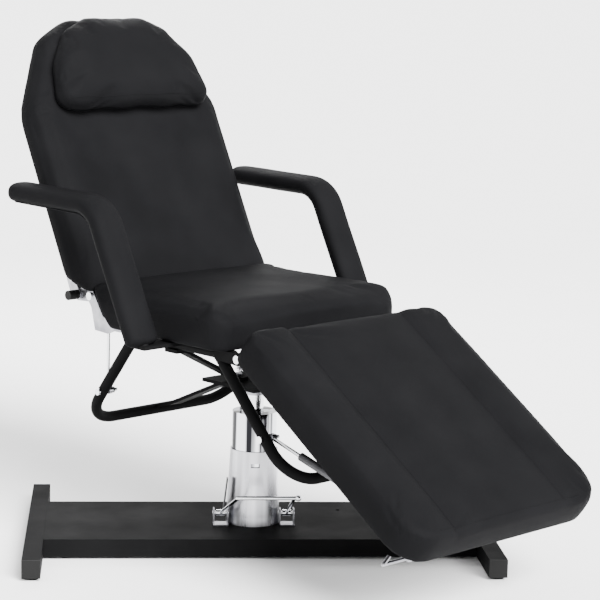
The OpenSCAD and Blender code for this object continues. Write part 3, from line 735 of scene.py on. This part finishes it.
# ---------------------------------------------------------------- armrests
# the cover's path beside the seat, in x and z from the pump's axis
ARM_REAR = (-0.407, 0.779)
ARM_CORNER = (-0.140, 0.775)
ARM_LOW = (0.006, 0.491)
ARM_Y = 0.339
ARM_BEND = 0.078
ARM_WIDE = 0.080
ARM_THICK = 0.045
ARM_SQUARENESS = 0.80
ARM_TIP = 0.034
ARM_TOE = 0.018
ARM_TOE_EXTRA = 0.004
ARM_SIDES = 44
ARM_GAP = 0.006
ARM_PUFF = 0.02
WELT_OUT, WELT_UNDER = 0.36, 0.435
WELT_RADIUS = 0.0014


def bent_points(start, corner, end, bend):
    """Evenly spaced points along start, corner, end with an arc at the corner."""
    arc = Fillet(start, corner, end, bend)
    count = max(2, round((arc.start - start).length / ARM_GAP))
    points = [start.lerp(arc.start, k / count) for k in range(count)]
    count = max(4, round(bend * arc.sweep / ARM_GAP))
    points += [arc.at(k / count) for k in range(count)]
    count = max(2, round((end - arc.end).length / ARM_GAP))
    points += [arc.end.lerp(end, k / count) for k in range(count + 1)]
    return points


def taper(share, power):
    """Shrinks a rounded end, from 1 at share 0 to almost nothing at share 1."""
    return math.sqrt(max(1 - share ** power, 0.0004))


def blunt(share, power):
    """Shrinks a blunt end, from 1 at share 0 to about a third at share 1."""
    return math.sqrt(max(1 - 0.9 * share ** power, 0.0004))


def armrest(side):
    """Cover that follows a pad's bent path, rounded at its tip and blunt at its foot."""
    outward = -1 if side == "right" else 1
    y = outward * ARM_Y
    rear, corner, toe = (PUMP + Vector((x, y, z)) for x, z in (ARM_REAR, ARM_CORNER, ARM_LOW))
    points = bent_points(rear + (rear - corner).normalized() * ARM_TIP, corner,
                         toe + (toe - corner).normalized() * ARM_TOE_EXTRA, ARM_BEND)
    total = sum((q - p).length for p, q in zip(points, points[1:]))
    last = len(points) - 1

    def out_of(i):
        """Direction out of the pad's face at a point of its path."""
        run = (points[min(i + 1, last)] - points[max(i - 1, 0)]).normalized()
        return run.cross(Y).normalized()

    mesh = bmesh.new()
    rings, done = [], 0.0
    for i, p in enumerate(points):
        if i:
            done += (p - points[i - 1]).length
        tip = max(0.0, 1 - done / ARM_TIP)
        end = max(0.0, 1 - (total - done) / ARM_TOE)
        wide = ARM_WIDE / 2 * taper(tip, 2.2) * blunt(end, 2.5)
        thick = ARM_THICK / 2 * taper(tip, 3.5) * blunt(end, 2.5)
        ring = []
        for k in range(ARM_SIDES):
            angle = 2 * math.pi * k / ARM_SIDES
            c, d = math.cos(angle), math.sin(angle)
            c = math.copysign(abs(c) ** ARM_SQUARENESS, c)
            d = math.copysign(abs(d) ** ARM_SQUARENESS, d)
            puff = 1 + ARM_PUFF * noise.noise(Vector((done * 14, c * 1.3, d * 1.3 + y)))
            ring.append(mesh.verts.new(p + Y * (wide * c * puff) + out_of(i) * (thick * d * puff)))
        rings.append(ring)
    stack_rings(mesh, rings)
    piece = link_mesh("armrest_cover_" + side, mesh)
    subdivide(piece)
    shade_smooth(piece)
    finish_piece(piece, "seat", "black_leather", ["armrest_pad_" + side])

    # sewn welt along the lower outer edge, clear of both ends
    welt = bead("armrest_seam_" + side,
                [points[i] + Y * (outward * ARM_WIDE * WELT_OUT)
                 + out_of(i) * (-ARM_THICK * WELT_UNDER) for i in range(6, last - 2)],
                WELT_RADIUS)
    finish_piece(welt, "seat", "black_leather")


# ---------------------------------------------------------------- seams
SEAM_POINTS = 60
SEAM_START = 0.08
SEAM_SINK = 0.35


def sew(piece, plane, name, body, start, end, radius):
    """Raised seam in a straight run from start to end, (a, b), laid on the face of a cushion."""
    tree = BVHTree.FromObject(piece, bpy.context.evaluated_depsgraph_get())
    points = []
    for k in range(SEAM_POINTS + 1):
        a = start[0] + (end[0] - start[0]) * k / SEAM_POINTS
        b = start[1] + (end[1] - start[1]) * k / SEAM_POINTS
        place = tree.ray_cast(plane.point(a, b, SEAM_START), -plane.up)[0]
        if place is not None:
            points.append(place - plane.up * radius * SEAM_SINK)
    finish_piece(bead(name, points, radius), body, "black_leather")


backrest_cushion()
pillow_piece = pillow()
seat_cushion()
legrest = legrest_cushion()
armrest("right")
armrest("left")

for label, b in (("right", -LEG_SEAM), ("left", LEG_SEAM)):
    sew(legrest, LEG, "legrest_channel_" + label, "legrest",
        (0.020, b), (LEG.length - 0.014, b), 0.0011)
sew(legrest, LEG, "legrest_foot_hem", "legrest",
    (LEG.length - 0.012, 0.075 - LEG.half), (LEG.length - 0.012, LEG.half - 0.075), 0.0013)
sew(pillow_piece, PILLOW, "pillow_front_hem", "backrest", (0.016, -0.205), (0.016, 0.200), 0.0010)


# ---------------------------------------------------------------- chrome pump
# the skirt and sleeve take the chrome with painted reflection bands
NODES["pump_skirt"].material_slots[0].material = SATIN_CHROME
NODES["pump_sleeve"].material_slots[0].material = SLEEVE_CHROME


# ---------------------------------------------------------------- floor and light
def make_floor():
    bpy.ops.mesh.primitive_plane_add(size=400, location=(0, 0, 0))
    floor = bpy.context.object
    floor.name = "floor"
    m = Nodes("floor")
    speckle = m.noise(3.0)
    m.link(m.tint(speckle.outputs["Fac"], FLOOR_DARK, FLOOR_LIGHT), "Base Color")
    m.set(Roughness=0.9, Specular_IOR_Level=0.1)
    floor.data.materials.append(m.material)


def make_light(name, place, target, size, power):
    data = bpy.data.lights.new(name, "AREA")
    data.shape = "RECTANGLE"
    data.size = data.size_y = size
    data.energy = power
    light = link(name, data)
    light.location = place
    light.rotation_euler = (Vector(target) - Vector(place)).to_track_quat("-Z", "Y").to_euler()


def make_world(strength, seen):
    """White studio: even light of one strength, seen behind the floor at another."""
    world = bpy.data.worlds.new("studio")
    world.use_nodes = True
    tree = world.node_tree
    path = tree.nodes.new("ShaderNodeLightPath")
    level = tree.nodes.new("ShaderNodeMapRange")
    level.inputs["To Min"].default_value = strength
    level.inputs["To Max"].default_value = seen
    tree.links.new(path.outputs["Is Camera Ray"], level.inputs["Value"])
    tree.links.new(level.outputs["Result"], tree.nodes["Background"].inputs["Strength"])
    tree.nodes["Background"].inputs["Color"].default_value = (1, 1, 1, 1)
    bpy.context.scene.world = world


def make_sun(direction, strength, angle):
    data = bpy.data.lights.new("sun", "SUN")
    data.energy = strength
    data.angle = math.radians(angle)
    light = link("sun", data)
    light.rotation_euler = (-Vector(direction)).to_track_quat("-Z", "Y").to_euler()


make_floor()
make_world(strength=1.7, seen=4.3)
make_sun(direction=(0.80, -0.15, 0.62), strength=15.0, angle=34)
make_light("rim", place=(-2.6, 1.6, 2.6), target=(0, 0, 0.7), size=1.6, power=80)

bpy.context.view_layer.update()
